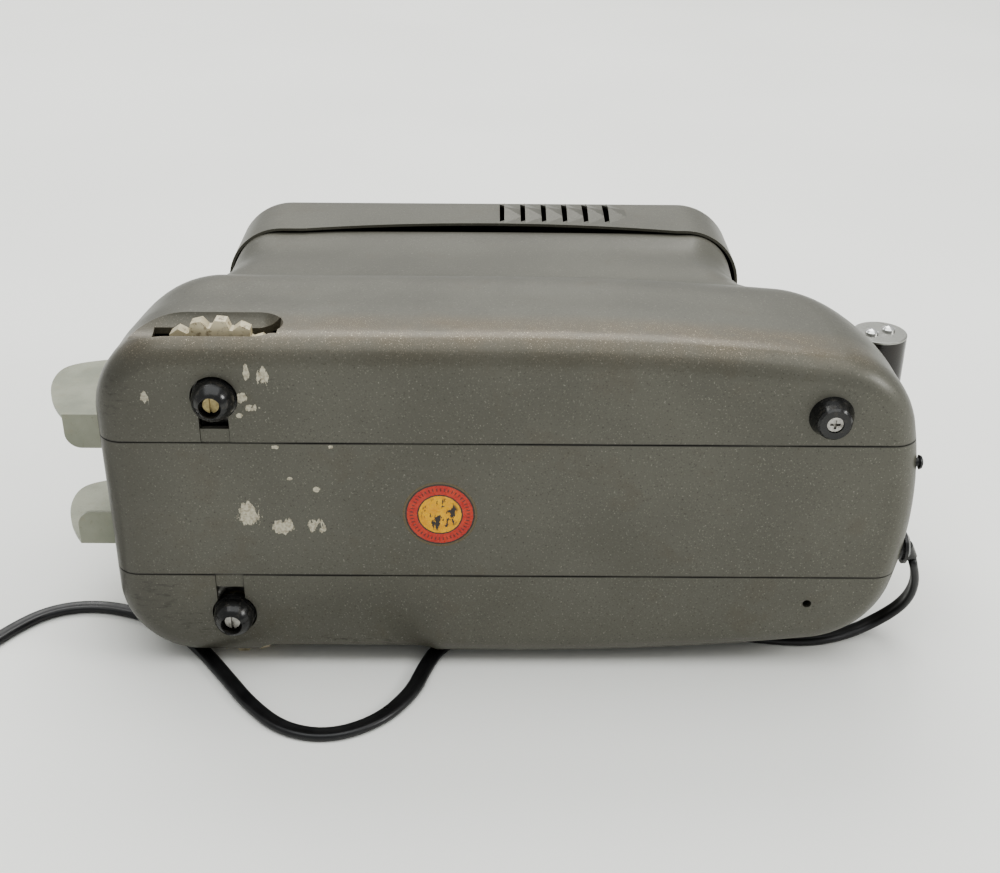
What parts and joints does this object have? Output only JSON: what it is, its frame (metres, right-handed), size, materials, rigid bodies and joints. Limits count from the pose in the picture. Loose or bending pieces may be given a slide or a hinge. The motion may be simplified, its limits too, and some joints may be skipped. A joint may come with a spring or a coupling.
{
  "type": "slide projector",
  "caption": "Portable slide projector with hammered metal case, vented lamp house cap, carrying handle, slide bin, elevating front feet and mains cord, lying on its right side.",
  "frame": {"origin": "under the middle of the box, on the surface that the right side lies on", "axes": "+X from the lens end to the handle end, +Y from the underside to the lamp house cap, +Z from the right cover up to the left cover"},
  "size_m": [0.4711, 0.2444, 0.1413],
  "materials": {
    "hammered_paint": "hammered enamel, semi-gloss, worn",
    "ivory_plastic": "satin moulded plastic, yellowed",
    "black_rubber": "glossy moulded rubber",
    "cord_rubber": "moulded rubber, semi-gloss",
    "steel": "dull plated steel",
    "lamination_steel": "dark stacked sheet",
    "copper_wire": "enamelled winding wire",
    "brass": "dull brass plate",
    "pale_alloy": "satin",
    "lens_tube_metal": "satin",
    "black_enamel": "satin enamel",
    "optical_glass": "clear",
    "mirror": "silvered",
    "black_plastic": "moulded, semi-gloss",
    "bright_metal": "polished",
    "printed_label": "printed and varnished, worn"
  },
  "bodies": {
    "case": {"centre_frame": "hammered_paint", "left_cover": "hammered_paint", "right_cover": "hammered_paint", "lamp_house_cap": "hammered_paint", "rear_foot": "black_rubber", "cord_gland": "black_rubber", "strain_relief": "black_rubber", "cord_run": "cord_rubber", "cord_coil": "cord_rubber", "cord_tail": "cord_rubber", "plug_body": "cord_rubber", "elevator_bracket_left": "steel", "elevator_bracket_right": "steel", "rear_foot_screw": "steel", "rear_screw": "steel", "motor_bearing_low": "steel", "motor_bearing_high": "steel", "motor_posts": "steel", "lamp_house_bridge": "steel", "optical_deck": "steel", "condenser_housing": "steel", "reflector_stand": "steel", "handle_yoke": "steel", "motor_stack": "lamination_steel", "motor_coils": "copper_wire", "lamp_base": "brass", "plug_blades": "brass", "cap_screws": "brass", "handle_screws": "brass", "slide_bin_left_plate": "pale_alloy", "slide_bin_right_plate": "pale_alloy", "slide_bin_back": "pale_alloy", "handle_end_plates": "pale_alloy", "cap_posts": "pale_alloy", "lens_tube": "lens_tube_metal", "slide_gate": "black_enamel", "condenser_lenses": "optical_glass", "heat_glass": "optical_glass", "lamp_bulb": "optical_glass", "reflector": "mirror", "handle_grip": "black_plastic", "switch_body": "black_plastic", "lamp_socket": "black_plastic", "approval_label": "printed_label"},
    "wheel_left": {"elevation_wheel_left": "ivory_plastic"},
    "foot_left": {"foot_stud_left": "steel", "front_foot_left": "black_rubber", "foot_screw_left": "brass"},
    "wheel_right": {"elevation_wheel_right": "ivory_plastic"},
    "foot_right": {"foot_stud_right": "steel", "front_foot_right": "black_rubber", "foot_screw_right": "steel"},
    "lens": {"lens_barrel": "black_enamel", "lens_elements": "optical_glass"},
    "fan": {"motor_shaft": "steel", "motor_rotor": "lamination_steel", "fan_impeller": "pale_alloy"},
    "switch": {"switch_lever": "bright_metal"}
  },
  "joints": [
    {"name": "left_wheel_turn", "type": "hinge", "parent": "case", "child": "wheel_left", "pos_m": [-0.0975, -0.08117, 0.1162], "axis": [0, 1, 0], "range_deg": [0, 1440]},
    {"name": "left_foot_travel", "type": "slide", "parent": "case", "child": "foot_left", "axis": [0, -1, 0], "range_m": [0, 0.0101]},
    {"name": "right_wheel_turn", "type": "hinge", "parent": "case", "child": "wheel_right", "pos_m": [-0.0975, -0.08117, 0.025], "axis": [0, 1, 0], "range_deg": [0, 1440]},
    {"name": "right_foot_travel", "type": "slide", "parent": "case", "child": "foot_right", "axis": [0, -1, 0], "range_m": [0, 0.0101]},
    {"name": "lens_focus", "type": "slide", "parent": "case", "child": "lens", "axis": [-1, 0, 0], "range_m": [0, 0.01]},
    {"name": "fan_spin", "type": "hinge", "parent": "case", "child": "fan", "pos_m": [0.0362, -0.03148, 0.0706], "axis": [0, 1, 0], "continuous": true},
    {"name": "switch_throw", "type": "hinge", "parent": "case", "child": "switch", "pos_m": [0.1022, 0.02952, 0.0706], "axis": [0, 0, 1], "range_deg": [0, 24]}
  ],
  "couplings": [
    {"joint": "left_foot_travel", "follows": "left_wheel_turn", "m_per_rad": 0.00039789},
    {"joint": "right_foot_travel", "follows": "right_wheel_turn", "m_per_rad": 0.00039789}
  ]
}
